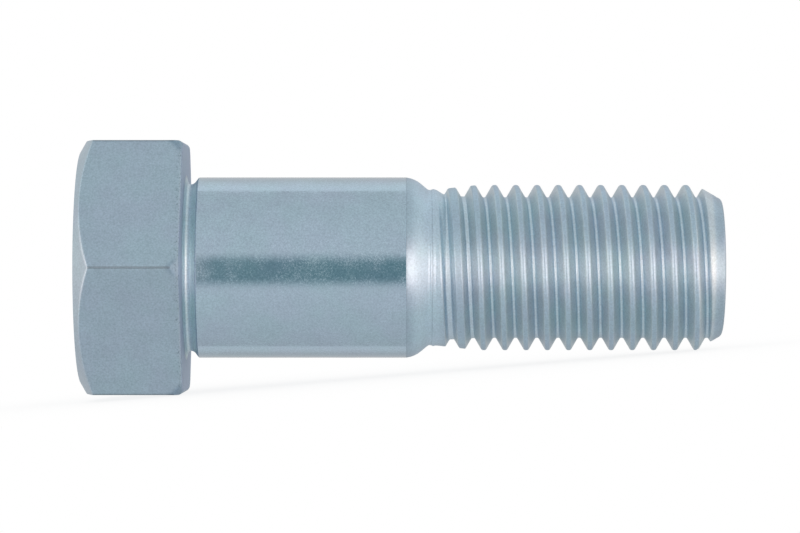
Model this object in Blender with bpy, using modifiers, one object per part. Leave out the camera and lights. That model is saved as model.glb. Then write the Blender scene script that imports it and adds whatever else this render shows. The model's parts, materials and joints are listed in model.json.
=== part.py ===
"""A hex fitted bolt in one piece of zinc-plated steel.

From end to end it is a forged hexagon head, a relief groove under the head, a ground shank that fits a
reamed hole, a rounded shoulder down to the neck, and a rolled right-hand thread with a chamfered point.
The bolt is modelled upright on the Z axis, with its bearing face at height 0, the head above it and the
thread below. It is then laid down the way it comes to rest: on the edge of one flat and on its thread.
All lengths are in metres.
"""

import math

import bmesh
import bpy
from mathutils import Matrix, Vector

# Head. A turned chamfer takes its corners off at the top face, and a small forged flat on each corner does so
# at the bearing face.
ACROSS_FLATS = 0.02365
HEAD_HEIGHT = 0.0099
TOP_FACE_DIAMETER = 0.0218
TOP_CHAMFER_ANGLE = math.radians(30)
BEARING_ACROSS_CORNERS = 0.0258
BEARING_CORNER_RISE = 0.0016

# Relief groove between the bearing face and the shank. It starts just outside the shank, so that a washer
# that passes over the shank lies flat on the bearing face.
GROOVE_DIAMETER = 0.01572
GROOVE_FACE_CLEARANCE = 0.0001
GROOVE_FACE_ANGLE = math.radians(75)
GROOVE_FILLET_RADIUS = 0.0003
GROOVE_EXIT_RADIUS = 0.0006
GROOVE_EXIT_ANGLE = math.radians(54)
SHANK_LIP_RADIUS = 0.0002

# Ground shank, and the shoulder that leads down to the neck. Lengths count from the bearing face.
SHANK_DIAMETER = 0.0170
SHANK_END = 0.02026
SHOULDER_ANGLE = math.radians(40)
SHOULDER_ROUNDING = 0.0031
SHOULDER_FILLET = 0.0004
NECK_DIAMETER = 0.01472

# Thread. It is rolled: its crests rise out of the neck and its roots sink below it, both little by little.
LENGTH = 0.0504
THREAD_PITCH = 0.0020
THREAD_DIAMETER = 0.0156
THREAD_PITCH_DIAMETER = 0.0145
THREAD_ROOT_DIAMETER = 0.0131
THREAD_FLANK_ANGLE = math.radians(30)
THREAD_END_ANGLE = math.radians(255)
CREST_START = 0.0229
CREST_RUNOUT_LENGTH = 0.0048
ROOT_START = 0.0234
ROOT_PLUNGE_LENGTH = 0.0010
ROOT_PLUNGE_DEPTH = 0.00055
ROOT_RUNOUT_LENGTH = 0.0050

# Point of the bolt
POINT_FACE_DIAMETER = 0.0123
POINT_ANGLE = math.radians(30)
POINT_ROUNDING = 0.00045

# How far joined and trimmed shapes run past each other
OVERLAP = 0.0010
FACE_OVERLAP = 0.0001
CORNER_MARGIN = 0.0001
CREST_MARGIN = 0.00025
CORE_INSET = 0.00005

# Fineness of round surfaces, the angle above which an edge is sharp, and the weld distance
TURNED_SIDES = 60
THREAD_SIDES = 36
ARC_TOLERANCE = 0.00001
SHARP_ANGLE = math.radians(25)
WELD = 1e-6

# Bright zinc with a blue passivation
ZINC_COLOUR = (0.29, 0.38, 0.46, 1.0)
ZINC_ROUGHNESS = 0.35

HEX_SIDES = 6
CORNER_RADIUS = ACROSS_FLATS / 2 / math.cos(math.pi / HEX_SIDES)


def clear_scene():
    """Remove every object and the collections that held them."""
    for obj in list(bpy.data.objects):
        bpy.data.objects.remove(obj, do_unlink=True)
    for collection in list(bpy.data.collections):
        bpy.data.collections.remove(collection)


def new_collection(name):
    """Add a collection to the scene."""
    collection = bpy.data.collections.new(name)
    bpy.context.scene.collection.children.link(collection)
    return collection


def new_object(name, mesh, collection):
    """Put a mesh into a collection as an object of its own."""
    obj = bpy.data.objects.new(name, mesh)
    collection.objects.link(obj)
    return obj


def mesh_of(name, bm):
    """Store a bmesh as mesh data and free it."""
    mesh = bpy.data.meshes.new(name)
    bm.to_mesh(mesh)
    bm.free()
    return mesh


def evaluated_mesh(obj):
    """A plain copy of an object's mesh with its modifiers applied."""
    graph = bpy.context.evaluated_depsgraph_get()
    return bpy.data.meshes.new_from_object(obj.evaluated_get(graph), depsgraph=graph)


def polyline(name, profile):
    """Mesh data for an open line through (radius, height) points, drawn in the XZ plane."""
    mesh = bpy.data.meshes.new(name)
    points = [(radius, 0.0, height) for radius, height in profile]
    mesh.from_pydata(points, [(i, i + 1) for i in range(len(points) - 1)], [])
    return mesh


def turned(name, profile, collection):
    """A solid of revolution. Its profile runs from the axis, down the outside, back to the axis."""
    obj = new_object(name, polyline(name, profile), collection)
    screw = obj.modifiers.new("turning", "SCREW")
    screw.steps = screw.render_steps = TURNED_SIDES
    screw.use_merge_vertices = True
    screw.merge_threshold = WELD
    return obj


def add_boolean(obj, operation, other):
    """Join or intersect one solid with another.

    The thread runs out into the neck at a few degrees, where the exact solver leaves open edges, so the
    manifold solver is used.
    """
    boolean = obj.modifiers.new(f"{operation.lower()} {other.name}", "BOOLEAN")
    boolean.operation = operation
    boolean.solver = "MANIFOLD"
    boolean.object = other


def arc_angles(radius, first, last):
    """Angles along an arc, close enough together for its chords to stay within the tolerance."""
    widest = 2 * math.acos(1 - ARC_TOLERANCE / max(radius, 2 * ARC_TOLERANCE))
    steps = math.ceil(abs(last - first) / widest)
    return [first + (last - first) * i / steps for i in range(steps + 1)]


def arc(centre, radius, first, last):
    """Points of an arc about (radius, height), with angles from the horizontal outward direction."""
    angles = arc_angles(radius, first, last)
    return [(centre[0] + radius * math.cos(a), centre[1] + radius * math.sin(a)) for a in angles]


def shoulder(top, first_radius, last_radius, slope, leaving, arriving):
    """A step between two cylinders, going down: an arc off the first, a cone, an arc into the second."""
    side = 1 if last_radius > first_radius else -1
    cone_rise = abs(last_radius - first_radius) - (leaving + arriving) * (1 - math.cos(slope))
    bottom = top - (leaving + arriving) * math.sin(slope) - cone_rise / math.tan(slope)
    points = []
    for angle in arc_angles(leaving, 0.0, slope):
        points.append((
            first_radius + side * leaving * (1 - math.cos(angle)),
            top - leaving * math.sin(angle),
        ))
    for angle in arc_angles(arriving, slope, 0.0):
        points.append((
            last_radius - side * arriving * (1 - math.cos(angle)),
            bottom + arriving * math.sin(angle),
        ))
    return points


def head_envelope():
    """Profile that trims the hexagon bar: the top face and its chamfer."""
    outside = CORNER_RADIUS + CORNER_MARGIN
    top_radius = TOP_FACE_DIAMETER / 2
    chamfer_foot = HEAD_HEIGHT - (outside - top_radius) * math.tan(TOP_CHAMFER_ANGLE)
    return [
        (0.0, HEAD_HEIGHT),
        (top_radius, HEAD_HEIGHT),
        (outside, chamfer_foot),
        (outside, -OVERLAP),
        (0.0, -OVERLAP),
    ]


def hexagonal_bar(name, foot, foot_radius, top_radius, turn, collection):
    """A six-sided bar, from a foot height to past the top face, that may taper and be turned on its axis."""
    bm = bmesh.new()
    top = HEAD_HEIGHT + OVERLAP
    bmesh.ops.create_cone(
        bm,
        cap_ends=True,
        segments=HEX_SIDES,
        radius1=foot_radius,
        radius2=top_radius,
        depth=top - foot,
        matrix=Matrix.Translation((0.0, 0.0, (foot + top) / 2)) @ Matrix.Rotation(turn, 4, "Z"),
    )
    return new_object(name, mesh_of(name, bm), collection)


def forged_flats(collection):
    """A bar that widens upwards and has a flat at each corner of the head. Its sides are the forged flats."""
    slope = (CORNER_RADIUS - BEARING_ACROSS_CORNERS / 2) / BEARING_CORNER_RISE
    foot_reach = BEARING_ACROSS_CORNERS / 2 - OVERLAP * slope
    top_reach = BEARING_ACROSS_CORNERS / 2 + (HEAD_HEIGHT + OVERLAP) * slope
    half_side = math.pi / HEX_SIDES
    return hexagonal_bar(
        "forged flats",
        -OVERLAP,
        foot_reach / math.cos(half_side),
        top_reach / math.cos(half_side),
        half_side,
        collection,
    )


def make_head(collection):
    """Hexagon head: a straight bar, trimmed by the turned envelope and by the forged flats."""
    head = hexagonal_bar("head", 0.0, CORNER_RADIUS, CORNER_RADIUS, 0.0, collection)
    add_boolean(head, "INTERSECT", turned("head envelope", head_envelope(), collection))
    add_boolean(head, "INTERSECT", forged_flats(collection))
    return head


def blank_profile():
    """Turned body: groove, shank, shoulder and neck, ending in the core that the thread covers."""
    groove_radius = GROOVE_DIAMETER / 2
    neck_radius = NECK_DIAMETER / 2
    face_radius = SHANK_DIAMETER / 2 + GROOVE_FACE_CLEARANCE
    entry_radius = face_radius + FACE_OVERLAP * math.tan(GROOVE_FACE_ANGLE)
    groove_entry = shoulder(
        FACE_OVERLAP,
        entry_radius,
        groove_radius,
        GROOVE_FACE_ANGLE,
        0.0,
        GROOVE_FILLET_RADIUS,
    )
    groove_exit = shoulder(
        groove_entry[-1][1],
        groove_radius,
        SHANK_DIAMETER / 2,
        GROOVE_EXIT_ANGLE,
        GROOVE_EXIT_RADIUS,
        SHANK_LIP_RADIUS,
    )
    neck_entry = shoulder(
        -SHANK_END,
        SHANK_DIAMETER / 2,
        neck_radius,
        SHOULDER_ANGLE,
        SHOULDER_ROUNDING,
        SHOULDER_FILLET,
    )
    core_end = -ROOT_START - ROOT_RUNOUT_LENGTH
    core_radius = THREAD_ROOT_DIAMETER / 2 - CORE_INSET
    return [
        (0.0, HEAD_HEIGHT / 2),
        (entry_radius, HEAD_HEIGHT / 2),
        *groove_entry[1:],
        *groove_exit[1:],
        *neck_entry,
        (neck_radius, -ROOT_START),
        (neck_radius - ROOT_PLUNGE_DEPTH, -ROOT_START - ROOT_PLUNGE_LENGTH),
        (core_radius, core_end),
        (0.0, core_end),
    ]


def thread_form():
    """One pitch of the thread from root to root, downwards: rounded roots, straight flanks, flat crest."""
    slope = math.tan(THREAD_FLANK_ANGLE)
    crest = THREAD_DIAMETER / 2
    root = THREAD_ROOT_DIAMETER / 2
    middle = THREAD_PITCH_DIAMETER / 2
    half_crest = THREAD_PITCH / 4 - (crest - middle) * slope
    sharp_root = middle - THREAD_PITCH / 4 / slope
    root_rounding = (root - sharp_root) / (1 / math.sin(THREAD_FLANK_ANGLE) - 1)
    flank_foot = root + root_rounding * (1 - math.sin(THREAD_FLANK_ANGLE))
    half_root = root_rounding * math.cos(THREAD_FLANK_ANGLE)
    half_pitch = THREAD_PITCH / 2
    return [
        (root, half_pitch),
        (flank_foot, half_pitch - half_root),
        (crest, half_crest),
        (crest, -half_crest),
        (flank_foot, half_root - half_pitch),
        (root, -half_pitch),
    ]


def threaded_rod(collection):
    """A closed rod with the full thread, past the neck at one end and past the point at the other."""
    first = -LENGTH - THREAD_PITCH + THREAD_PITCH * THREAD_END_ANGLE / math.tau
    turns = math.ceil((LENGTH - SHANK_END) / THREAD_PITCH) + 2
    profile = [(radius, first + height) for radius, height in thread_form()]
    sweep = new_object("thread", polyline("thread", profile), collection)
    screw = sweep.modifiers.new("helix", "SCREW")
    screw.steps = screw.render_steps = THREAD_SIDES
    screw.screw_offset = THREAD_PITCH
    screw.iterations = turns
    screw.use_merge_vertices = False
    bm = bmesh.new()
    bm.from_mesh(evaluated_mesh(sweep))
    bmesh.ops.remove_doubles(bm, verts=bm.verts, dist=WELD)
    ends = bmesh.ops.edgeloop_fill(bm, edges=[edge for edge in bm.edges if edge.is_boundary])
    bmesh.ops.poke(bm, faces=ends["faces"])
    bmesh.ops.recalc_face_normals(bm, faces=bm.faces)
    sweep.modifiers.clear()
    sweep.data = mesh_of("thread", bm)
    return sweep


def thread_envelope():
    """Profile that trims the rod: the run-out of the crests at the neck, and the chamfered point."""
    neck_radius = NECK_DIAMETER / 2
    crest_radius = THREAD_DIAMETER / 2
    outside = crest_radius + CREST_MARGIN
    rise = (crest_radius - neck_radius) / CREST_RUNOUT_LENGTH
    entry = SHANK_END + OVERLAP
    cone_end = CREST_START + (outside - neck_radius) / rise
    point = arc(
        (POINT_FACE_DIAMETER / 2, POINT_ROUNDING - LENGTH),
        POINT_ROUNDING,
        -POINT_ANGLE,
        -math.pi / 2,
    )
    chamfer_top = point[0][1] + (outside - point[0][0]) / math.tan(POINT_ANGLE)
    return [
        (0.0, -entry),
        (neck_radius - (CREST_START - entry) * rise, -entry),
        (outside, -cone_end),
        (outside, chamfer_top),
        *point,
        (0.0, -LENGTH),
    ]


def make_thread(collection):
    """Rolled thread with its run-out and its chamfered point."""
    thread = threaded_rod(collection)
    add_boolean(thread, "INTERSECT", turned("thread envelope", thread_envelope(), collection))
    return thread


def zinc_plating():
    """Bright zinc plating with its blue passivation."""
    material = bpy.data.materials.new("zinc plated steel")
    material.use_nodes = True
    shader = material.node_tree.nodes["Principled BSDF"]
    shader.inputs["Base Color"].default_value = ZINC_COLOUR
    shader.inputs["Metallic"].default_value = 1.0
    shader.inputs["Roughness"].default_value = ZINC_ROUGHNESS
    return material


def make_bolt(collection, construction):
    """Join head, body and thread into one solid and store it as a plain mesh."""
    body = turned("body", blank_profile(), construction)
    add_boolean(body, "UNION", make_head(construction))
    add_boolean(body, "UNION", make_thread(construction))
    mesh = evaluated_mesh(body)
    mesh.name = "fitted_bolt"
    mesh.materials.clear()
    mesh.materials.append(zinc_plating())
    mesh.shade_smooth()
    mesh.set_sharp_from_angle(angle=SHARP_ANGLE)
    for helper in construction.objects:
        helper.hide_render = True
        helper.hide_set(True)
        helper.display_type = "WIRE"
    return new_object("fitted_bolt", mesh, collection)


def laid(tilt):
    """Rotation that lays the bolt along +X with a flat underneath and its point dipping by a tilt."""
    return Matrix.Rotation(tilt - math.pi / 2, 4, "Y")


def resting_tilt(points):
    """The dip at which the head and the thread both touch the surface below."""
    head = [point for point in points if point.z > -SHANK_LIP_RADIUS]
    thread = [point for point in points if point.z < -SHANK_END]
    low, high = 0.0, math.pi / 4
    while high - low > WELD:
        tilt = (low + high) / 2
        up = laid(tilt).to_3x3()[2]
        if min(up.dot(point) for point in head) < min(up.dot(point) for point in thread):
            low = tilt
        else:
            high = tilt
    return low


def lay_down(bolt):
    """Rest the bolt on the plane z = 0, centred over the origin."""
    points = [vertex.co.copy() for vertex in bolt.data.vertices]
    rotation = laid(resting_tilt(points))
    placed = [rotation @ point for point in points]
    lowest = Vector([min(point[i] for point in placed) for i in range(3)])
    highest = Vector([max(point[i] for point in placed) for i in range(3)])
    middle = (lowest + highest) / 2
    bolt.matrix_world = Matrix.Translation((-middle.x, -middle.y, -lowest.z)) @ rotation


def main():
    """Build the bolt at rest."""
    clear_scene()
    collection = new_collection("fitted bolt")
    construction = new_collection("construction")
    lay_down(make_bolt(collection, construction))


main()
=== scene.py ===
# %% [markdown]
# # A hex fitted bolt in blue-passivated zinc
#
# A fitted bolt locates two parts as well as clamping them. Its shank is ground to fit a reamed hole, and
# it is thicker than the thread. The head is forged from hexagonal form and turned at its top face, a
# relief groove is cut under the head, and the thread is rolled. The whole bolt is then plated with bright
# zinc.
#
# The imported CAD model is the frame: it says where the bolt lies and how large it is. This script makes
# one finer skin for it, gives that skin its finish, and sets up the studio and the camera.

import json
import math

import bpy
from mathutils import Matrix, Vector

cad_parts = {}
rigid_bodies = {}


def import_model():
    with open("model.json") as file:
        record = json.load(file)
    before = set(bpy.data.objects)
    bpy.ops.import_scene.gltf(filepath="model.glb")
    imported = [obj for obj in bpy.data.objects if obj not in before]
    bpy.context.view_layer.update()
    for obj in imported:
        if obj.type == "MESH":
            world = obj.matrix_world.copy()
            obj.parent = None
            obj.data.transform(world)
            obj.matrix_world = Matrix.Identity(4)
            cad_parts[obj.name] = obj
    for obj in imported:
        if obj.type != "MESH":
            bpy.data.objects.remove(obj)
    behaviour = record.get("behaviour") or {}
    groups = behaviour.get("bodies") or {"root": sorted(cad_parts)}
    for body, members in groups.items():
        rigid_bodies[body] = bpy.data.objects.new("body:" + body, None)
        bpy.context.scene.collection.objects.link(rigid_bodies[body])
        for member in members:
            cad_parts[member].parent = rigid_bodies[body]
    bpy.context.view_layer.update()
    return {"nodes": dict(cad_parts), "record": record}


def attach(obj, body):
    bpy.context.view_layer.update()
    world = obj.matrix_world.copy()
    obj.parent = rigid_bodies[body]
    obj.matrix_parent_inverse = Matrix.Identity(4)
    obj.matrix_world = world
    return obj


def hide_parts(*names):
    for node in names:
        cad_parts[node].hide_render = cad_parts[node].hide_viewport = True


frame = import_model()
print("nodes:", sorted(frame["nodes"]))

# %% [markdown]
# ## Where the bolt lies
#
# The bolt rests on a flat of its head and on its thread, so its axis dips a little. All the sizes below
# are easier to read along that axis, so the skin is made upright on the Z axis, with the bearing face of
# the head at height 0 and the thread below. Two faces named in the record then give the matrix that lays
# it down.

# %% The matrix that lays the bolt down
MM = 0.001

mounts = {mount["name"]: mount for mount in frame["record"]["mounts"]}
thread_way = Vector(mounts["thread_end_face"]["axis"]).normalized()
thread_end = Vector(mounts["thread_end_face"]["pos_m"])
on_bearing_face = Vector(mounts["bearing_face"]["pos_m"])
bearing_centre = thread_end + thread_way * (on_bearing_face - thread_end).dot(thread_way)
across = Vector((0.0, 1.0, 0.0))
upward = thread_way.cross(across)
laid_down = Matrix((upward, across, -thread_way)).transposed().to_4x4()
laid_down.translation = bearing_centre
print("bearing face at", [round(x / MM, 2) for x in bearing_centre], "mm")

# %% [markdown]
# ## The profile of the turned part
#
# Everything but the hexagon and the thread is a solid of revolution, so one profile line describes it. A
# drawing gives such a line as corners with roundings. The helper below does the same: it takes corners as
# radius, height and rounding in millimetres, and returns the points of the rounded line. Where the
# hexagon crosses the turned surface the line needs many points, so a helper also cuts long stretches into
# short ones.


# %% Helpers for a rounded line
def rounded(corners, widest_turn):
    """Points (radius, height) along a line whose corners (radius, height, rounding) are rounded."""
    points = [corners[0][:2]]
    for before, corner, after in zip(corners, corners[1:], corners[2:]):
        here = Vector(corner[:2])
        arriving = (here - Vector(before[:2])).normalized()
        leaving = (Vector(after[:2]) - here).normalized()
        turn = math.atan2(arriving.x * leaving.y - arriving.y * leaving.x, arriving.dot(leaving))
        if corner[2] == 0.0:
            points.append(tuple(here))
            continue
        start = here - arriving * corner[2] * math.tan(abs(turn) / 2)
        to_centre = Vector((-arriving.y, arriving.x)) * math.copysign(corner[2], turn)
        steps = max(2, math.ceil(abs(turn) / widest_turn))
        for i in range(steps + 1):
            swung = Matrix.Rotation(turn * i / steps, 2) @ to_centre
            points.append(tuple(start + to_centre - swung))
    return points + [corners[-1][:2]]


def cut_short(points, longest):
    """The same line with no stretch longer than a length."""
    fine = [points[0]]
    for before, after in zip(points, points[1:]):
        steps = max(1, math.ceil(math.dist(before, after) / longest))
        for i in range(1, steps + 1):
            fine.append(tuple(a + (b - a) * i / steps for a, b in zip(before, after)))
    return fine


# %% [markdown]
# ### Head, groove, shank and neck
#
# The turned line of the head is wider than the hexagon at its corners. Where it is, the flats win, and
# where it is not, the turned chamfer shows. That is how the curved edges on top of a real head arise. The
# underside of the corners is rounded by the forging die.
#
# Below the head, the groove gives the grinding wheel room to run out, so that the shank's corner can't
# foul the hole. The wheel leaves a worn edge at the other end, and past the shoulder the neck dips and
# swells a little, where the rolling dies have pushed metal towards the head.

# %% Corners of the head
ACROSS_FLATS = 23.65
HEAD_HEIGHT = 9.9
TOP_FACE_RADIUS = 10.9
TOP_EDGE_ROUNDING = 0.25
TOP_CHAMFER_SLOPE = math.radians(30)
BEARING_CORNER_RADIUS = 12.9
BEARING_CORNER_RISE = 1.6
BEARING_CORNER_EDGE = 0.2
CLEAR_OF_HEXAGON = 0.1
UNDER_HEXAGON = 1.0
CHAMFER_STEP = 0.085
SAME_HEIGHT = 1e-6

widest = ACROSS_FLATS / 2 / math.cos(math.pi / 6) + CLEAR_OF_HEXAGON
chamfer_foot = HEAD_HEIGHT - (widest - TOP_FACE_RADIUS) * math.tan(TOP_CHAMFER_SLOPE)
corner_turn = 2 * math.atan2(widest - BEARING_CORNER_RADIUS, BEARING_CORNER_RISE)
corner_rounding = BEARING_CORNER_RISE / math.sin(corner_turn)
top_line = rounded(
    [
        (0.0, HEAD_HEIGHT, 0.0),
        (TOP_FACE_RADIUS, HEAD_HEIGHT, TOP_EDGE_ROUNDING),
        (widest, chamfer_foot, 0.0),
    ],
    widest_turn=math.radians(6),
)
side_line = rounded(
    [
        (widest, chamfer_foot, 0.0),
        (widest, BEARING_CORNER_RISE - corner_rounding * math.tan(corner_turn / 2), corner_rounding),
        (BEARING_CORNER_RADIUS, 0.0, BEARING_CORNER_EDGE),
        (ACROSS_FLATS / 2 - UNDER_HEXAGON, 0.0, 0.0),
    ],
    widest_turn=math.radians(5),
)
# The forged rounding ends past the start of the edge after it, and its last points would fold the skin.
side_line = [
    row
    for i, row in enumerate(side_line)
    if max(height for radius, height in side_line[i:]) < row[1] + SAME_HEIGHT
]
head_line = cut_short(top_line[:2], longest=2.5) + cut_short(top_line[1:], longest=CHAMFER_STEP)[1:]
head_line += side_line[1:]
print("head:", len(head_line), "points")

# %% Corners of the body
BEARING_INNER_EDGE = 0.06
GROOVE_RADIUS = 7.86
GROOVE_START_RADIUS = 8.6
GROOVE_FACE_SLOPE = math.radians(75)
GROOVE_FILLET = 0.3
GROOVE_EXIT_ROUNDING = 0.6
GROOVE_EXIT_SLOPE = math.radians(54)
SHANK_LIP = 0.2
SHANK_RADIUS = 8.5
GRIND_END = 20.7
GRIND_EDGE_SLOPE = math.radians(8)
GRIND_EDGE_ROUNDING = 0.03
SHOULDER_CORNER = 21.39
SHOULDER_SLOPE = math.radians(40)
SHOULDER_ROUNDING = 2.6
SHOULDER_FILLET = 0.4
VALLEY_RADIUS = 7.24
SWELL_RADIUS = 7.43
SWELL = 23.25
SWELL_ROUNDING = 0.3
NECK_RADIUS = 7.36
THREAD_START = 23.42

entry_foot = -(GROOVE_START_RADIUS - GROOVE_RADIUS) / math.tan(GROOVE_FACE_SLOPE)
exit_foot = (
    entry_foot
    - GROOVE_FILLET * math.tan(GROOVE_FACE_SLOPE / 2)
    - GROOVE_EXIT_ROUNDING * math.tan(GROOVE_EXIT_SLOPE / 2)
)
lip = exit_foot - (SHANK_RADIUS - GROOVE_RADIUS) / math.tan(GROOVE_EXIT_SLOPE)
shoulder_fall, edge_fall = math.tan(SHOULDER_SLOPE), math.tan(GRIND_EDGE_SLOPE)
eased_length = (SHOULDER_CORNER - GRIND_END) * shoulder_fall / (shoulder_fall - edge_fall)
shoulder_foot = -SHOULDER_CORNER - (SHANK_RADIUS - VALLEY_RADIUS) / math.tan(SHOULDER_SLOPE)
body_line = rounded(
    [
        (ACROSS_FLATS / 2 - UNDER_HEXAGON, 0.0, 0.0),
        (GROOVE_START_RADIUS, 0.0, BEARING_INNER_EDGE),
        (GROOVE_RADIUS, entry_foot, GROOVE_FILLET),
        (GROOVE_RADIUS, exit_foot, GROOVE_EXIT_ROUNDING),
        (SHANK_RADIUS, lip, SHANK_LIP),
        (SHANK_RADIUS, -GRIND_END, GRIND_EDGE_ROUNDING),
        (SHANK_RADIUS - eased_length * edge_fall, -GRIND_END - eased_length, SHOULDER_ROUNDING),
        (VALLEY_RADIUS, shoulder_foot, SHOULDER_FILLET),
        (SWELL_RADIUS, -SWELL, SWELL_ROUNDING),
        (NECK_RADIUS, -THREAD_START, 0.0),
    ],
    widest_turn=math.radians(9),
)
body_line = cut_short(body_line, longest=2.0)[1:]
print("body:", len(body_line), "points")

# %% [markdown]
# ### One pitch of the thread
#
# Rolling presses the roots into the blank and lets the crests rise on both sides of each root. The dies
# also burnish what they touch, so crests and roots shine. One pitch goes from the middle of a crest to
# the middle of the next: half a narrow flat, a rounded edge, a flank at 30 degrees, a rounded root, and
# the same back up.

# %% Points of one pitch
PITCH = 2.0
CREST_RADIUS = 7.8
PITCH_RADIUS = 7.25
ROOT_RADIUS = 6.62
FLANK_ANGLE = math.radians(30)
CREST_EDGE = 0.28

half_crest = PITCH / 4 - (CREST_RADIUS - PITCH_RADIUS) * math.tan(FLANK_ANGLE)
sharp_root = PITCH_RADIUS - PITCH / 4 / math.tan(FLANK_ANGLE)
root_rounding = (ROOT_RADIUS - sharp_root) / (1 / math.sin(FLANK_ANGLE) - 1)
pitch_line = rounded(
    [
        (CREST_RADIUS, 0.0, 0.0),
        (CREST_RADIUS, -half_crest, CREST_EDGE),
        (sharp_root, -PITCH / 2, root_rounding),
        (CREST_RADIUS, half_crest - PITCH, CREST_EDGE),
        (CREST_RADIUS, -PITCH, 0.0),
    ],
    widest_turn=math.radians(12),
)
pitch_line = cut_short(pitch_line, longest=0.35)
print("one pitch:", len(pitch_line), "points, root rounding", round(root_rounding, 3), "mm")

# %% [markdown]
# ### Rows of the skin
#
# The skin is a net of rows and columns. A turned row goes round at one height. A thread row climbs by one
# pitch on its way round, so it follows a crest, a flank or a root and the thread stays crisp with few
# faces. All rows sit in one line of points, from the centre of the top face to the centre of the end
# face, and an attribute says which ones climb.

# %% All rows in one line
LENGTH = 50.4
THREAD_END_TURN = 246 / 360
POINT_FACE_RADIUS = 6.15
POINT_SLOPE = math.radians(30)
POINT_ROUNDING = 0.45

thread_stop = LENGTH - POINT_ROUNDING * (1 - math.sin(POINT_SLOPE))
point_radius = POINT_FACE_RADIUS + POINT_ROUNDING * math.cos(POINT_SLOPE)
crest_middle = -LENGTH - PITCH + PITCH * THREAD_END_TURN
while crest_middle < -THREAD_START:
    crest_middle += PITCH
thread_line = []
while crest_middle > -thread_stop - PITCH:
    thread_line += [(radius, crest_middle + height) for radius, height in pitch_line[:-1]]
    crest_middle -= PITCH
point_line = rounded(
    [
        (point_radius, -thread_stop, 0.0),
        (point_radius - POINT_ROUNDING * math.tan(POINT_SLOPE) ** 2, -LENGTH, POINT_ROUNDING),
        (0.0, -LENGTH, 0.0),
    ],
    widest_turn=math.radians(10),
)
point_line = [row for row in point_line if row[1] <= -thread_stop]
point_line = point_line[:-1] + cut_short(point_line[-2:], longest=2.5)[1:]

rows = head_line + body_line + thread_line + point_line
climbs = [0.0] * len(head_line + body_line) + [1.0] * len(thread_line) + [0.0] * len(point_line)
line = bpy.data.meshes.new("bolt rows")
line.from_pydata(
    [(radius * MM, 0.0, height * MM) for radius, height in rows],
    [(i, i + 1) for i in range(len(rows) - 1)],
    [],
)
line.attributes.new("climbs", "FLOAT", "POINT").data.foreach_set("value", climbs)
print("rows:", len(rows), "of which", len(thread_line), "climb")

# %% [markdown]
# ## The skin
#
# The bolt could be made with Booleans, as the CAD model is. Here a Geometry Nodes tree bends a flat grid
# into the skin instead, because every point of the bolt has one radius for its height and its turn about
# the axis. The tree reads the rows, and its named inputs hold the sizes of the hexagon and of the
# thread's run-out.
#
# One small helper adds every node, here and in the materials. Its inputs are links or values.


# %% A helper for nodes
def add_node(tree, kind, inputs=(), **settings):
    """Add a node, give it its settings, and fill its inputs in order or by name."""
    node = tree.nodes.new(kind)
    for name, value in settings.items():
        setattr(node, name, value)
    sockets = [socket for socket in node.inputs if socket.enabled]
    named = {socket.name: socket for socket in reversed(sockets)}
    places = inputs.items() if isinstance(inputs, dict) else zip(range(len(inputs)), inputs)
    for place, value in places:
        socket = sockets[place] if isinstance(place, int) else named[place]
        if isinstance(value, bpy.types.Node):
            value = next(output for output in value.outputs if output.enabled)
        if isinstance(value, bpy.types.NodeSocket):
            tree.links.new(value, socket)
        elif value is not None:
            socket.default_value = value
    return node


# %% Start the tree with its named inputs
CORNER_BLEND = 0.3
EDGE_BLEND = 0.05
BEARING_EDGE = 0.5
THREAD_BLEND = 0.08
CREST_START, CREST_END = 22.9, 27.7
ROOT_START, ROOT_PLUNGE, ROOT_END = 23.5, 24.4, 28.4
ROOT_PLUNGE_DEPTH = 0.55
CREST_MARGIN = 0.02
ROOT_MARGIN = 0.05
COLUMNS = 144

skin_sizes = {
    "Across Flats": ACROSS_FLATS,
    "Corner Blend": CORNER_BLEND,
    "Edge Blend": EDGE_BLEND,
    "Bearing Edge": BEARING_EDGE,
    "Pitch": PITCH,
    "Thread Start": THREAD_START,
    "Thread Stop": thread_stop,
    "Crest Start": CREST_START,
    "Crest End": CREST_END,
    "Crest Radius": CREST_RADIUS + CREST_MARGIN,
    "Neck Radius": NECK_RADIUS,
    "Root Start": ROOT_START,
    "Root Plunge": ROOT_PLUNGE,
    "Root Plunge Depth": ROOT_PLUNGE_DEPTH,
    "Root End": ROOT_END,
    "Root Radius": ROOT_RADIUS - ROOT_MARGIN,
    "Thread Blend": THREAD_BLEND,
    "Point Radius": point_radius,
}
skin_tree = bpy.data.node_groups.new("bolt skin", "GeometryNodeTree")
skin_tree.interface.new_socket("Rows", in_out="INPUT", socket_type="NodeSocketGeometry")
skin_tree.interface.new_socket("Columns", in_out="INPUT", socket_type="NodeSocketInt")
for name in skin_sizes:
    skin_tree.interface.new_socket(name, in_out="INPUT", socket_type="NodeSocketFloat")
skin_tree.interface.new_socket("Finish", in_out="INPUT", socket_type="NodeSocketMaterial")
skin_tree.interface.new_socket("Skin", in_out="OUTPUT", socket_type="NodeSocketGeometry")
given = add_node(skin_tree, "NodeGroupInput").outputs
print("inputs:", len(given) - 1)

# %% [markdown]
# ### Rows and columns
#
# The grid is one unit wide and high, so a point's own place says which row and which turn it belongs to.
# The columns are drawn together towards the corners of the hexagon, where the surface turns most.

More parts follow.
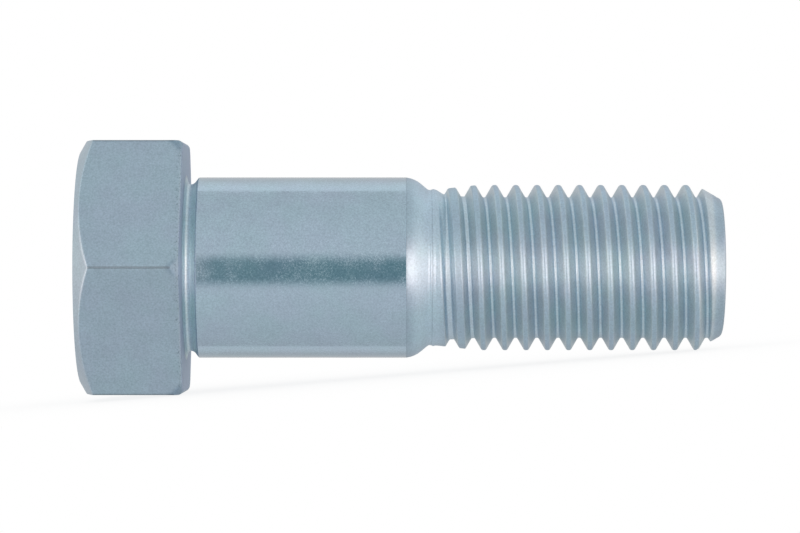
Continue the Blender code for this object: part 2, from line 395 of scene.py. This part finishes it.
# %% Grid, row and turn
row_count = add_node(skin_tree, "GeometryNodeAttributeDomainSize", [given["Rows"]], component="MESH")
last_row = add_node(skin_tree, "ShaderNodeMath", [row_count, 1.0], operation="SUBTRACT")
across_count = add_node(skin_tree, "ShaderNodeMath", [given["Columns"], 1.0], operation="ADD")
grid = add_node(skin_tree, "GeometryNodeMeshGrid", [1.0, 1.0, row_count, across_count])
place = add_node(skin_tree, "ShaderNodeSeparateXYZ", [add_node(skin_tree, "GeometryNodeInputPosition")])
down = add_node(skin_tree, "ShaderNodeMath", [place.outputs["X"], 0.5], operation="ADD")
row = add_node(skin_tree, "ShaderNodeMath", [down, last_row], operation="MULTIPLY")
row = add_node(skin_tree, "ShaderNodeMath", [row], operation="ROUND")
sixths = add_node(skin_tree, "ShaderNodeMath", [place.outputs["Y"], 6.0, 3.0], operation="MULTIPLY_ADD")
flat_number = add_node(skin_tree, "ShaderNodeMath", [sixths], operation="ROUND")
beside = add_node(skin_tree, "ShaderNodeMath", [sixths, flat_number], operation="SUBTRACT")
cube = add_node(skin_tree, "ShaderNodeMath", [beside, 3.0], operation="POWER")
cube = add_node(skin_tree, "ShaderNodeMath", [cube, -2.0], operation="MULTIPLY")
beside = add_node(skin_tree, "ShaderNodeMath", [beside, 1.5, cube], operation="MULTIPLY_ADD")
turn = add_node(skin_tree, "ShaderNodeMath", [flat_number, beside], operation="ADD")
turn = add_node(skin_tree, "ShaderNodeMath", [turn, 6.0], operation="DIVIDE")
angle = add_node(skin_tree, "ShaderNodeMath", [turn, math.tau], operation="MULTIPLY")
off_flat = add_node(skin_tree, "ShaderNodeMath", [beside, math.tau / 6], operation="MULTIPLY")
off_flat = add_node(skin_tree, "ShaderNodeMath", [off_flat], operation="ABSOLUTE")
print("net:", len(rows), "rows by", COLUMNS, "columns")

# %% Radius and height of the row
row_point = add_node(
    skin_tree,
    "GeometryNodeSampleIndex",
    {"Geometry": given["Rows"], "Value": add_node(skin_tree, "GeometryNodeInputPosition"), "Index": row},
    data_type="FLOAT_VECTOR",
)
row_point = add_node(skin_tree, "ShaderNodeSeparateXYZ", [row_point])
climb_mark = add_node(skin_tree, "GeometryNodeInputNamedAttribute", ["climbs"], data_type="FLOAT")
climb = add_node(
    skin_tree,
    "GeometryNodeSampleIndex",
    {"Geometry": given["Rows"], "Value": climb_mark, "Index": row},
    data_type="FLOAT",
)
row_radius, row_height = row_point.outputs["X"], row_point.outputs["Z"]
print("nodes for the rows:", len(skin_tree.nodes))

# %% [markdown]
# ### The hexagon
#
# A flat is at half the width across flats from the axis, so at an angle beside its middle the radius is
# that distance over the cosine. Of two neighbouring flats the nearer one counts. A smooth minimum in
# place of a hard one gives the worn, plated edge its small rounding. The same is done between the hexagon
# and the turned line.

# %% Radius of the head
bearing_reach = add_node(
    skin_tree, "ShaderNodeMath", [given["Bearing Edge"], row_height], operation="SUBTRACT"
)
bearing_reach = add_node(skin_tree, "ShaderNodeClamp", [bearing_reach, 0.0, given["Bearing Edge"]])
edge_square = add_node(
    skin_tree, "ShaderNodeMath", [given["Bearing Edge"], given["Bearing Edge"]], operation="MULTIPLY"
)
reach_square = add_node(skin_tree, "ShaderNodeMath", [bearing_reach, bearing_reach], operation="MULTIPLY")
left = add_node(skin_tree, "ShaderNodeMath", [edge_square, reach_square], operation="SUBTRACT")
left = add_node(skin_tree, "ShaderNodeMath", [left], operation="SQRT")
eased = add_node(skin_tree, "ShaderNodeMath", [given["Bearing Edge"], left], operation="SUBTRACT")
flat_distance = add_node(skin_tree, "ShaderNodeMath", [given["Across Flats"], 2.0], operation="DIVIDE")
flat_distance = add_node(skin_tree, "ShaderNodeMath", [flat_distance, eased], operation="SUBTRACT")
near_cosine = add_node(skin_tree, "ShaderNodeMath", [off_flat], operation="COSINE")
near_flat = add_node(skin_tree, "ShaderNodeMath", [flat_distance, near_cosine], operation="DIVIDE")
off_next = add_node(skin_tree, "ShaderNodeMath", [math.tau / 6, off_flat], operation="SUBTRACT")
next_cosine = add_node(skin_tree, "ShaderNodeMath", [off_next], operation="COSINE")
next_flat = add_node(skin_tree, "ShaderNodeMath", [flat_distance, next_cosine], operation="DIVIDE")
hexagon = add_node(
    skin_tree, "ShaderNodeMath", [near_flat, next_flat, given["Corner Blend"]], operation="SMOOTH_MIN"
)
turned_radius = add_node(
    skin_tree, "ShaderNodeMath", [row_radius, hexagon, given["Edge Blend"]], operation="SMOOTH_MIN"
)
print("nodes with the hexagon:", len(skin_tree.nodes))

# %% [markdown]
# ### The thread and its run-out
#
# A climbing row gains one pitch per turn, and is held between the neck and the point, where it lies down
# on the rows that do not climb. Near the neck the dies have not bitten fully, so a crest may rise no
# higher than a cone and a root may sink no lower than the blank. The chamfer of the point takes off what
# stands outside it. Held rows all take the neck's radius, so that they meet there in one ring and the
# skin stays closed.

# %% Height and radius of the thread
climbed = add_node(
    skin_tree, "ShaderNodeMath", [turn, given["Pitch"], row_height], operation="MULTIPLY_ADD"
)
highest = add_node(skin_tree, "ShaderNodeMath", [given["Thread Start"], -1.0], operation="MULTIPLY")
lowest = add_node(skin_tree, "ShaderNodeMath", [given["Thread Stop"], -1.0], operation="MULTIPLY")
climbed = add_node(skin_tree, "ShaderNodeClamp", [climbed, lowest, highest])
height = add_node(
    skin_tree, "ShaderNodeMix", {"Factor": climb, "A": row_height, "B": climbed}, data_type="FLOAT"
)
below = add_node(skin_tree, "ShaderNodeMath", [height, -1.0], operation="MULTIPLY")
under_neck = add_node(
    skin_tree, "ShaderNodeMath", [given["Neck Radius"], given["Thread Blend"]], operation="SUBTRACT"
)
crest_limit = add_node(
    skin_tree,
    "ShaderNodeMapRange",
    [below, given["Crest Start"], given["Crest End"], under_neck, given["Crest Radius"]],
)
plunged = add_node(
    skin_tree, "ShaderNodeMath", [given["Neck Radius"], given["Root Plunge Depth"]], operation="SUBTRACT"
)
core = add_node(
    skin_tree,
    "ShaderNodeMapRange",
    [below, given["Root Start"], given["Root Plunge"], given["Neck Radius"], plunged],
)
root_left = add_node(skin_tree, "ShaderNodeMath", [given["Root Radius"], plunged], operation="SUBTRACT")
core_fall = add_node(
    skin_tree,
    "ShaderNodeMapRange",
    [below, given["Root Plunge"], given["Root End"], 0.0, root_left],
)
core = add_node(skin_tree, "ShaderNodeMath", [core, core_fall], operation="ADD")
thread_radius = add_node(
    skin_tree, "ShaderNodeMath", [row_radius, crest_limit, given["Thread Blend"]], operation="SMOOTH_MIN"
)
thread_radius = add_node(
    skin_tree, "ShaderNodeMath", [thread_radius, core, given["Thread Blend"]], operation="SMOOTH_MAX"
)
to_point = add_node(skin_tree, "ShaderNodeMath", [given["Thread Stop"], below], operation="SUBTRACT")
point_cone = add_node(
    skin_tree,
    "ShaderNodeMath",
    [to_point, math.tan(POINT_SLOPE), given["Point Radius"]],
    operation="MULTIPLY_ADD",
)
thread_radius = add_node(
    skin_tree, "ShaderNodeMath", [thread_radius, point_cone, given["Thread Blend"]], operation="SMOOTH_MIN"
)

thread_begun = add_node(
    skin_tree, "ShaderNodeMath", [given["Thread Start"], given["Thread Blend"]], operation="ADD"
)
begun = add_node(skin_tree, "ShaderNodeMapRange", [below, given["Thread Start"], thread_begun, 0.0, 1.0])
thread_radius = add_node(
    skin_tree, "ShaderNodeMix", {"Factor": begun, "A": given["Neck Radius"], "B": thread_radius}
)
print("nodes with the thread:", len(skin_tree.nodes))

# %% Bend the grid and close it
SAME_PLACE = 2e-6

radius = add_node(
    skin_tree, "ShaderNodeMix", {"Factor": climb, "A": turned_radius, "B": thread_radius}, data_type="FLOAT"
)
cosine = add_node(skin_tree, "ShaderNodeMath", [angle], operation="COSINE")
sine = add_node(skin_tree, "ShaderNodeMath", [angle], operation="SINE")
x = add_node(skin_tree, "ShaderNodeMath", [radius, cosine], operation="MULTIPLY")
y = add_node(skin_tree, "ShaderNodeMath", [radius, sine], operation="MULTIPLY")
bent_place = add_node(skin_tree, "ShaderNodeCombineXYZ", [x, y, height])
bent = add_node(
    skin_tree, "GeometryNodeSetPosition", {"Geometry": grid.outputs["Mesh"], "Position": bent_place}
)
closed = add_node(skin_tree, "GeometryNodeMergeByDistance", {"Geometry": bent, "Distance": SAME_PLACE})
smooth = add_node(skin_tree, "GeometryNodeSetShadeSmooth", {"Geometry": closed, "Shade Smooth": True})
real = add_node(skin_tree, "GeometryNodeRealizeInstances", {"Geometry": smooth})
finished = add_node(skin_tree, "GeometryNodeSetMaterial", {"Geometry": real, "Material": given["Finish"]})
add_node(skin_tree, "NodeGroupOutput", [finished])
print("nodes in the tree:", len(skin_tree.nodes))

# %% [markdown]
# ## The finish: blue-passivated zinc
#
# Zinc plating is a bright, slightly blue metal. Passivation deepens the blue and adds faint rainbow tints
# where the film is thinner or thicker. On the ground shank the layer is nearly mirror-like, and on the
# forged and rolled surfaces below it the base metal's fine grain shows through, so reflections there are
# blurred and a little darker. Small dark specks sit where the plating bath leaves residue, as along the
# edge of the head.
#
# The patterns read the Object coordinates. A Mapping node turns them into the bolt's own frame first, so
# that a zone can be given by its distance from the bearing face.


# %% A colour from its sRGB hex value
def linear(hex_colour):
    """Turn an sRGB hex colour into the linear RGBA that nodes expect."""
    channels = [int(hex_colour[i : i + 2], 16) / 255 for i in (1, 3, 5)]
    return (*[c / 12.92 if c <= 0.04045 else ((c + 0.055) / 1.055) ** 2.4 for c in channels], 1.0)


# %% Bolt coordinates for the patterns
zinc = bpy.data.materials.new("blue passivated zinc plating")
zinc.use_nodes = True
zinc_nodes = zinc.node_tree
shader = zinc_nodes.nodes["Principled BSDF"]
object_place = add_node(zinc_nodes, "ShaderNodeTexCoord").outputs["Object"]
bolt_place = add_node(
    zinc_nodes,
    "ShaderNodeMapping",
    {"Vector": object_place, "Location": bearing_centre, "Rotation": laid_down.to_euler()},
    vector_type="TEXTURE",
)
bolt_axes = add_node(zinc_nodes, "ShaderNodeSeparateXYZ", [bolt_place])
from_head = add_node(zinc_nodes, "ShaderNodeMath", [bolt_axes.outputs["Z"], -1.0], operation="MULTIPLY")

# %% A zone between two places along a line
def add_zone(tree, along, low, high, soft):
    """A mask that is 1 between two values of an input and fades out over a width at both ends."""
    rising, falling = [
        add_node(
            tree,
            "ShaderNodeMapRange",
            [along, edge - soft / 2, edge + soft / 2, *levels],
            interpolation_type="SMOOTHSTEP",
        )
        for edge, levels in ((low, (0.0, 1.0)), (high, (1.0, 0.0)))
    ]
    return add_node(tree, "ShaderNodeMath", [rising, falling], operation="MULTIPLY")


# %% [markdown]
# ### Zones of the finish
#
# The shank is ground and the chamfer of the head is turned, so both are smoother than the forged flats.
# The bearing face and the flats that the die leaves at its corners are the dullest, and those corner
# flats are darker as painted shade over the glint they would show. Light that gets between the walls of
# the groove or of the thread meets the zinc several times and darkens, so their colour starts paler, as
# painted light against that shade, and the foot of the groove is palest, a painted highlight. The neck is
# the drawn blank, and has a softer gloss; its paler colour is partly a painted highlight of the glint on
# the shoulder and neck, and the chamfer's paler colour is partly a painted reflection. The sharp corners
# of the hexagon carry a thin dark line, painted shade that stands for their dark reflection.

# %% Zones along the bolt
NO_LIMIT = 1.0
GRIND_START = 1.25
GRIND_EDGE_WIDTH = 0.1
GROOVE_START = 0.04
GROOVE_FOOT_END = 0.72
NECK_ZONE = (GRIND_END + 0.6, 25.5)
THREAD_ZONE = (24.0, LENGTH - 1.0)
FLANK_ZONE = (23.6, LENGTH - 1.0)

out_from_axis = add_node(
    zinc_nodes, "ShaderNodeCombineXYZ", [bolt_axes.outputs["X"], bolt_axes.outputs["Y"], 0.0]
)
out_from_axis = add_node(zinc_nodes, "ShaderNodeVectorMath", [out_from_axis], operation="LENGTH")
out_from_axis = out_from_axis.outputs["Value"]
ground, grind_edge, groove, groove_foot, neck, on_thread, flank = [
    add_zone(zinc_nodes, from_head, low * MM, high * MM, soft * MM)
    for low, high, soft in (
        (GRIND_START, GRIND_END, 0.06),
        (GRIND_END, GRIND_END + GRIND_EDGE_WIDTH, 0.06),
        (GROOVE_START, GRIND_START, 0.04),
        (GROOVE_START, GROOVE_FOOT_END, 0.08),
        (*NECK_ZONE, 1.4),
        (*THREAD_ZONE, 1.2),
        (*FLANK_ZONE, 0.4),
    )
]
print("nodes for the zones along the bolt:", len(zinc_nodes.nodes))

# %% Crests, roots and flanks by their depth
ROOT_LINE_END = 25.5
ROOT_LINE_RADII = (7.3, 6.67)
CREST_DEPTH = 0.11
ROOT_HEIGHT = 0.1
DEPTH_SOFT = 0.12

crest_line = add_node(
    zinc_nodes,
    "ShaderNodeMapRange",
    [
        from_head,
        CREST_START * MM,
        CREST_END * MM,
        (NECK_RADIUS - THREAD_BLEND) * MM,
        (CREST_RADIUS + CREST_MARGIN) * MM,
    ],
)
root_line = add_node(
    zinc_nodes,
    "ShaderNodeMapRange",
    [from_head, ROOT_START * MM, ROOT_LINE_END * MM, *[radius * MM for radius in ROOT_LINE_RADII]],
)
above_root = add_node(zinc_nodes, "ShaderNodeMath", [out_from_axis, root_line], operation="SUBTRACT")
under_crest = add_node(zinc_nodes, "ShaderNodeMath", [crest_line, out_from_axis], operation="SUBTRACT")
for margin, edge in ((above_root, ROOT_HEIGHT), (under_crest, CREST_DEPTH)):
    clear = add_zone(zinc_nodes, margin, edge * MM, NO_LIMIT, DEPTH_SOFT * MM)
    flank = add_node(zinc_nodes, "ShaderNodeMath", [flank, clear], operation="MULTIPLY")
crest = add_zone(zinc_nodes, under_crest, -NO_LIMIT, CREST_DEPTH * MM, DEPTH_SOFT * MM)
crest = add_node(zinc_nodes, "ShaderNodeMath", [crest, on_thread], operation="MULTIPLY")
print("crests end at", THREAD_ZONE[1], "mm")

# %% Zones of the head
CORNER_EDGE_START = 13.575
TURNED_DEPTH = 0.05
BEARING_DEPTH = 0.1
CORNER_LEAN = 0.47
CORNER_REACH = 13.0

# A thin dark line of painted shade along the hexagon's sharp corners, which stands for the dark reflection
# they show.
corner_painted_shade = add_zone(zinc_nodes, out_from_axis, CORNER_EDGE_START * MM, NO_LIMIT, 0.05 * MM)
cone_drop = add_node(
    zinc_nodes,
    "ShaderNodeMath",
    [out_from_axis, math.tan(TOP_CHAMFER_SLOPE), -TOP_FACE_RADIUS * math.tan(TOP_CHAMFER_SLOPE) * MM],
    operation="MULTIPLY_ADD",
)
under_cone = add_node(zinc_nodes, "ShaderNodeMath", [from_head, cone_drop], operation="SUBTRACT")
top_turned = add_zone(zinc_nodes, under_cone, -NO_LIMIT, (TURNED_DEPTH - HEAD_HEIGHT) * MM, 0.06 * MM)
outside_groove = add_zone(
    zinc_nodes, out_from_axis, (GROOVE_START_RADIUS + BEARING_DEPTH) * MM, NO_LIMIT, 0.1 * MM
)
bearing = add_zone(zinc_nodes, from_head, -BEARING_DEPTH * MM, BEARING_DEPTH * MM, 0.1 * MM)
bearing = add_node(zinc_nodes, "ShaderNodeMath", [bearing, outside_groove], operation="MULTIPLY")
corner_place = add_node(
    zinc_nodes, "ShaderNodeMath", [from_head, CORNER_LEAN, out_from_axis], operation="MULTIPLY_ADD"
)
forged_corner = add_zone(zinc_nodes, corner_place, CORNER_REACH * MM, NO_LIMIT, 0.4 * MM)
by_bearing = add_zone(zinc_nodes, from_head, -1.5 * MM, 0.2 * MM, 0.2 * MM)
forged_corner = add_node(zinc_nodes, "ShaderNodeMath", [forged_corner, by_bearing], operation="MULTIPLY")
print("nodes for all zones:", len(zinc_nodes.nodes))

# %% [markdown]
# ### Grain, mottling, film and specks
#
# Four noises do the rest. The grain is that of the steel under the layer. The real one is finer than the
# picture can show, so it is drawn about a sixth of a millimetre wide. The mottling is where the
# brightener in the bath has worked more or less, a few millimetres wide. The film of the passivation
# shifts the hue a little, from violet to green. The last noise is cut off high, which leaves separate
# specks, and they only show along the edge of the bearing face, where the bath drains off last.

# %% Four noises
GRAIN_WIDTH = 0.17
MOTTLE_WIDTH = 2.2
FILM_WIDTH = 3.5
SPECK_WIDTH = 0.2

grain, mottle, film, speck_noise = [
    add_node(
        zinc_nodes,
        "ShaderNodeTexNoise",
        {"Vector": bolt_place, "Scale": 1 / (width * MM), "Detail": detail, "Roughness": fineness},
    )
    for width, detail, fineness in (
        (GRAIN_WIDTH, 2.0, 0.6),
        (MOTTLE_WIDTH, 4.0, 0.65),
        (FILM_WIDTH, 2.0, 0.5),
        (SPECK_WIDTH, 3.0, 0.6),
    )
]
print("noises", GRAIN_WIDTH, MOTTLE_WIDTH, FILM_WIDTH, SPECK_WIDTH, "mm wide")

# %% Specks along the bearing edge
SPECK_REACH = 0.5
FLATS_START = 11.4

specks = add_node(zinc_nodes, "ShaderNodeMapRange", [speck_noise, 0.55, 0.66, 0.0, 1.0])
by_edge = add_zone(zinc_nodes, from_head, -SPECK_REACH * MM, 0.0, 0.35 * MM)
on_flats = add_zone(zinc_nodes, out_from_axis, FLATS_START * MM, NO_LIMIT, 0.1 * MM)
for mask in (by_edge, on_flats):
    specks = add_node(zinc_nodes, "ShaderNodeMath", [specks, mask], operation="MULTIPLY")
print("specks within", SPECK_REACH, "mm of the bearing face")

# %% [markdown]
# ### Colour
#
# All the zones are the same zinc. Their colours differ partly by finish and partly by painted light. The
# groove and the thread's roots and flanks are paler to offset shade between their walls, the groove's
# foot, the neck and the chamfer are paler as painted highlights, and the die's corner flats and a line
# along the hexagon's corners are darker as painted shade. The edge where the grinding ends and the specks
# are darker too.

# %% Colour
ZINC = linear("#A7BCCA")
FORGED_ZINC = linear("#A1B6C4")
# The turned chamfer is paler, partly a painted reflection of the light beside the head.
CHAMFER_REFLECTION_ZINC = linear("#B7CBD8")
# The groove, roots and flanks are paler as painted light, which offsets the shade where light meets their
# walls several times.
GROOVE_PAINTED_LIGHT_ZINC = linear("#BCD0D7")
# The groove's foot is palest, a painted highlight for the bright ring under the head.
GROOVE_FOOT_HIGHLIGHT_ZINC = linear("#C5D9E1")
# The neck is paler, partly a painted highlight of the glint on the shoulder and neck.
NECK_HIGHLIGHT_ZINC = linear("#B4CBD9")
ROOT_PAINTED_LIGHT_ZINC = linear("#B8CDD9")
CREST_ZINC = linear("#A5BCCB")
FLANK_PAINTED_LIGHT_ZINC = linear("#C2D1D8")
BEARING_ZINC = linear("#9CAFC3")
# The die's corner flats are darkened as painted shade, which hides the glint they would show.
FORGED_CORNER_SHADE_ZINC = linear("#8BA3B4")
VIOLET_FILM = linear("#FFFCFF")
GREEN_FILM = linear("#FCFFFE")
GRAIN_LEVELS = (0.88, 1.12)
MOTTLE_LEVELS = (0.96, 1.04)
GRIND_EDGE_LEVEL = 0.9
# Painted shade for the dark line along the hexagon's corners.
CORNER_PAINTED_SHADE_LEVEL = 0.62
SPECK_LEVEL = 0.62

colour = FORGED_ZINC
for zone, zone_colour in (
    (ground, ZINC),
    (top_turned, CHAMFER_REFLECTION_ZINC),
    (groove, GROOVE_PAINTED_LIGHT_ZINC),
    (groove_foot, GROOVE_FOOT_HIGHLIGHT_ZINC),
    (neck, NECK_HIGHLIGHT_ZINC),
    (on_thread, ROOT_PAINTED_LIGHT_ZINC),
    (crest, CREST_ZINC),
    (flank, FLANK_PAINTED_LIGHT_ZINC),
    (bearing, BEARING_ZINC),
    (forged_corner, FORGED_CORNER_SHADE_ZINC),
):
    colour = add_node(
        zinc_nodes, "ShaderNodeMix", {"Factor": zone, "A": colour, "B": zone_colour}, data_type="RGBA"
    )
film_share = add_node(zinc_nodes, "ShaderNodeMapRange", [film, 0.35, 0.65, 0.0, 1.0])
tint = add_node(
    zinc_nodes, "ShaderNodeMix", {"Factor": film_share, "A": VIOLET_FILM, "B": GREEN_FILM}, data_type="RGBA"
)
colour = add_node(zinc_nodes, "ShaderNodeVectorMath", [colour, tint], operation="MULTIPLY")
level = 1.0
for pattern, low, high, levels in (
    (grain, 0.3, 0.7, GRAIN_LEVELS),
    (mottle, 0.3, 0.7, MOTTLE_LEVELS),
    (grind_edge, 0.0, 1.0, (1.0, GRIND_EDGE_LEVEL)),
    (corner_painted_shade, 0.0, 1.0, (1.0, CORNER_PAINTED_SHADE_LEVEL)),
    (specks, 0.0, 1.0, (1.0, SPECK_LEVEL)),
):
    pattern_level = add_node(zinc_nodes, "ShaderNodeMapRange", [pattern, low, high, *levels])
    level = add_node(zinc_nodes, "ShaderNodeMath", [level, pattern_level], operation="MULTIPLY")
colour = add_node(zinc_nodes, "ShaderNodeVectorMath", {0: colour, "Scale": level}, operation="SCALE")
zinc_nodes.links.new(colour.outputs[0], shader.inputs["Base Color"])
print("nodes with the colour:", len(zinc_nodes.nodes))

# %% [markdown]
# ### Gloss
#
# The ground shank reflects sharply in some spots and less so in others, which is what breaks up a dark
# reflection on it. The other zones are rougher, and so evenly rough that one value each will do. Metallic
# is 1 all over, because zinc is bare metal under a film far thinner than a hair.

# %% Roughness
SPOT_RANGE = (0.8, 1.2)
GROUND_ROUGHNESS = (0.05, 0.21)
FORGED_ROUGHNESS = 0.38
TURNED_ROUGHNESS = 0.33
CREST_ROUGHNESS = 0.4
GROOVE_ROUGHNESS = 0.48
FLANK_ROUGHNESS = 0.4
NECK_ROUGHNESS = 0.42
DULL_ROUGHNESS = 0.6

spots = add_node(zinc_nodes, "ShaderNodeMath", [grain, mottle], operation="ADD")
spots = add_node(zinc_nodes, "ShaderNodeMapRange", [spots, *SPOT_RANGE, *GROUND_ROUGHNESS])
rough = FORGED_ROUGHNESS
for zone, zone_roughness in (
    (top_turned, TURNED_ROUGHNESS),
    (groove_foot, GROOVE_ROUGHNESS),
    (neck, NECK_ROUGHNESS),
    (on_thread, FLANK_ROUGHNESS),
    (crest, CREST_ROUGHNESS),
    (bearing, DULL_ROUGHNESS),
    (forged_corner, DULL_ROUGHNESS),
    (ground, spots),
):
    rough = add_node(zinc_nodes, "ShaderNodeMix", {"Factor": zone, "A": rough, "B": zone_roughness})
zinc_nodes.links.new(rough.outputs[0], shader.inputs["Roughness"])
shader.inputs["Metallic"].default_value = 1.0
print("nodes in the finish:", len(zinc_nodes.nodes))

# %% [markdown]
# ## Make the piece
#
# The rows' mesh carries the tree as a modifier. Its result is turned into a plain mesh and the modifier
# goes, so that the piece can be exported, and the mesh is then laid down where the CAD solid lies.

# %% The plated bolt
bolt = bpy.data.objects.new("plated_bolt", line)
bpy.context.scene.collection.objects.link(bolt)
skin = bolt.modifiers.new("skin", "NODES")
skin.node_group = skin_tree
sockets = {item.name: item.identifier for item in skin_tree.interface.items_tree}
skin[sockets["Columns"]] = COLUMNS
skin[sockets["Finish"]] = zinc
for name, size in skin_sizes.items():
    skin[sockets[name]] = size * MM
graph = bpy.context.evaluated_depsgraph_get()
plain = bpy.data.meshes.new_from_object(bolt.evaluated_get(graph), depsgraph=graph)
bolt.modifiers.clear()
bolt.data = plain
plain.transform(laid_down)
plain.name = "plated bolt"
triangles = sum(len(face.vertices) - 2 for face in plain.polygons)
print("bolt:", triangles, "triangles")

# %% Hand the piece to the frame
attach(bolt, "root")
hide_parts("fitted_bolt")

# %% [markdown]
# ## The studio
#
# Bare metal shows what stands around it, so the studio decides how a plated bolt looks. A small part is
# usually photographed in a white tent: even light from all sides, and a dark opening where the camera
# looks in, which the shank mirrors as a dark band. Pale walls and a softbox on either side pick out the
# shoulder, the groove and the thread. The world does all of that here. It reads the direction of a ray in
# the bolt's frame, as a rise above the bolt and as a swing to the side. Only the metal's reflections see
# the tent. The camera itself, and the floor, see plain white.

# %% Directions in the tent
world = bpy.data.worlds.new("studio tent")
bpy.context.scene.world = world
world.use_nodes = True
tent = world.node_tree
tent.nodes.clear()
ray_way = add_node(tent, "ShaderNodeTexCoord").outputs["Generated"]
bolt_way = add_node(
    tent,
    "ShaderNodeMapping",
    {"Vector": ray_way, "Rotation": laid_down.to_euler()},
    vector_type="TEXTURE",
)
way = add_node(tent, "ShaderNodeSeparateXYZ", [bolt_way])
to_camera = add_node(tent, "ShaderNodeMath", [way.outputs["Y"], -1.0], operation="MULTIPLY")
to_right = add_node(tent, "ShaderNodeMath", [way.outputs["Z"], -1.0], operation="MULTIPLY")
rise = add_node(tent, "ShaderNodeMath", [way.outputs["X"], to_camera], operation="ARCTAN2")
swing = add_node(tent, "ShaderNodeMath", [to_right, to_camera], operation="ARCTAN2")
lift = add_node(tent, "ShaderNodeMath", [way.outputs["X"]], operation="ARCSINE")
print("the tent reads rise, swing and lift with", len(tent.nodes), "nodes")

# %% Level of the tent around the bolt, by the rise in degrees
TENT_LEVELS = (
    (-180, 0.6),
    (-144, 0.63),
    (-131, 0.82),
    (-121, 0.88),
    (-120, 0.68),
    (-109, 0.72),
    (-25, 0.86),
    (17, 0.86),
    (103, 0.79),
    (114, 0.79),
    (115, 1.03),
    (122, 1.03),
    (134, 0.92),
    (149, 0.73),
    (180, 0.6),
)
around = add_node(tent, "ShaderNodeMapRange", [rise, -math.pi, math.pi, 0.0, 1.0])
tent_ramp = add_node(tent, "ShaderNodeValToRGB", [around])
stops = tent_ramp.color_ramp.elements
stops.remove(stops[1])
for degrees, level_there in TENT_LEVELS:
    stop = stops.new((degrees + 180) / 360) if degrees > TENT_LEVELS[0][0] else stops[0]
    stop.color = (level_there, level_there, level_there, 1.0)
print("tent:", len(stops), "stops")

# %% Dark opening, side walls and softboxes, by angles in degrees
OPENING = (0.245, 0.37, 0.395, 1.0)
SIDE_WALL = (1.95, 1.62, 1.47, 1.0)
SOFTBOX = (3.4, 2.65, 2.4, 1.0)

masks = {}
for name, along, low, high, soft in (
    ("opening rise", rise, -20.5, 13, 17),
    ("opening swing", swing, -14, 9, 7),
    ("side lift", lift, -17, 17, 16),
    ("right swing", swing, 13, 115, 10),
    ("left swing", swing, -112, -16, 34),
    ("right softbox", swing, 13, 46, 12),
    ("left softbox", swing, -40, -18, 12),
):
    masks[name] = add_zone(tent, along, math.radians(low), math.radians(high), math.radians(soft))
seen = tent_ramp
for height_mask, side_masks, light in (
    ("opening rise", ("opening swing", "opening swing"), OPENING),
    ("side lift", ("right swing", "left swing"), SIDE_WALL),
    ("side lift", ("right softbox", "left softbox"), SOFTBOX),
):
    patch = add_node(tent, "ShaderNodeMath", [masks[name] for name in side_masks], operation="MAXIMUM")
    patch = add_node(tent, "ShaderNodeMath", [masks[height_mask], patch], operation="MULTIPLY")
    seen = add_node(tent, "ShaderNodeMix", {"Factor": patch, "A": seen, "B": light}, data_type="RGBA")
print("tent with its opening, walls and softboxes:", len(tent.nodes), "nodes")

# %% White for the camera and for the floor, the tent for the metal
light_path = add_node(tent, "ShaderNodeLightPath")
white = add_node(tent, "ShaderNodeBackground", {"Color": (1.0, 1.0, 1.0, 1.0), "Strength": 1.0})
tent_light = add_node(tent, "ShaderNodeBackground", {"Color": seen, "Strength": 1.0})
chosen = add_node(tent, "ShaderNodeMixShader", [light_path.outputs["Is Glossy Ray"], white, tent_light])
add_node(tent, "ShaderNodeOutputWorld", {"Surface": chosen})

# %% [markdown]
# ### The floor
#
# The floor is a plain white sheet. Most of it shines by itself, which keeps it as white as the
# background. Near the bolt a share of its white is lit instead, so that the bolt still leaves a faint
# shadow where it rests.

# %% Floor
FLOOR_REACH = 3.0
LIT_SHARE = 0.15
LIT_NEAR = 35.0
LIT_FAR = 65.0

floor_mesh = bpy.data.meshes.new("floor")
floor_corners = [(x * FLOOR_REACH, y * FLOOR_REACH, 0.0) for x, y in ((-1, -1), (1, -1), (1, 1), (-1, 1))]
floor_mesh.from_pydata(floor_corners, [], [(0, 1, 2, 3)])
floor = bpy.data.objects.new("floor", floor_mesh)
bpy.context.scene.collection.objects.link(floor)
floor_white = bpy.data.materials.new("matt white sheet")
floor_white.use_nodes = True
sheet = floor_white.node_tree
sheet.nodes.clear()
floor_place = add_node(sheet, "ShaderNodeTexCoord").outputs["Object"]
far = add_node(sheet, "ShaderNodeVectorMath", [floor_place], operation="LENGTH").outputs["Value"]
lit_share = add_node(sheet, "ShaderNodeMapRange", [far, LIT_NEAR * MM, LIT_FAR * MM, LIT_SHARE, 0.0])
shine = add_node(sheet, "ShaderNodeEmission", {"Color": linear("#FFFFFF"), "Strength": 1.0})
lit = add_node(sheet, "ShaderNodeBsdfDiffuse", {"Color": linear("#FFFFFF")})
both = add_node(sheet, "ShaderNodeMixShader", [lit_share, shine, lit])
add_node(sheet, "ShaderNodeOutputMaterial", {"Surface": both})
floor_mesh.materials.append(floor_white)
floor.visible_glossy = False
print("floor:", 2 * FLOOR_REACH, "m wide")

# %% [markdown]
# ## The camera
#
# The camera stands level with the bolt's axis and looks straight across it at the head's corner. It is
# rolled with the bolt, so that the bolt lies level in the picture.

# %% Camera
CAMERA_DISTANCE = 380.0
CAMERA_LENS = 181.3
AIM_BELOW_HEAD = 20.13
AIM_ABOVE_AXIS = 0.1

camera_data = bpy.data.cameras.new("camera")
camera_data.lens = CAMERA_LENS
camera_data.sensor_width = 36.0
camera_data.clip_start = 0.01
camera_data.clip_end = 20.0
camera = bpy.data.objects.new("camera", camera_data)
bpy.context.scene.collection.objects.link(camera)
view = Matrix((thread_way, upward, -across)).transposed().to_4x4()
view.translation = (
    bearing_centre + (thread_way * AIM_BELOW_HEAD + upward * AIM_ABOVE_AXIS - across * CAMERA_DISTANCE) * MM
)
camera.matrix_world = view
bpy.context.scene.camera = camera
bpy.context.scene.view_settings.view_transform = "Standard"
print("camera at", [round(x / MM, 1) for x in view.translation], "mm")
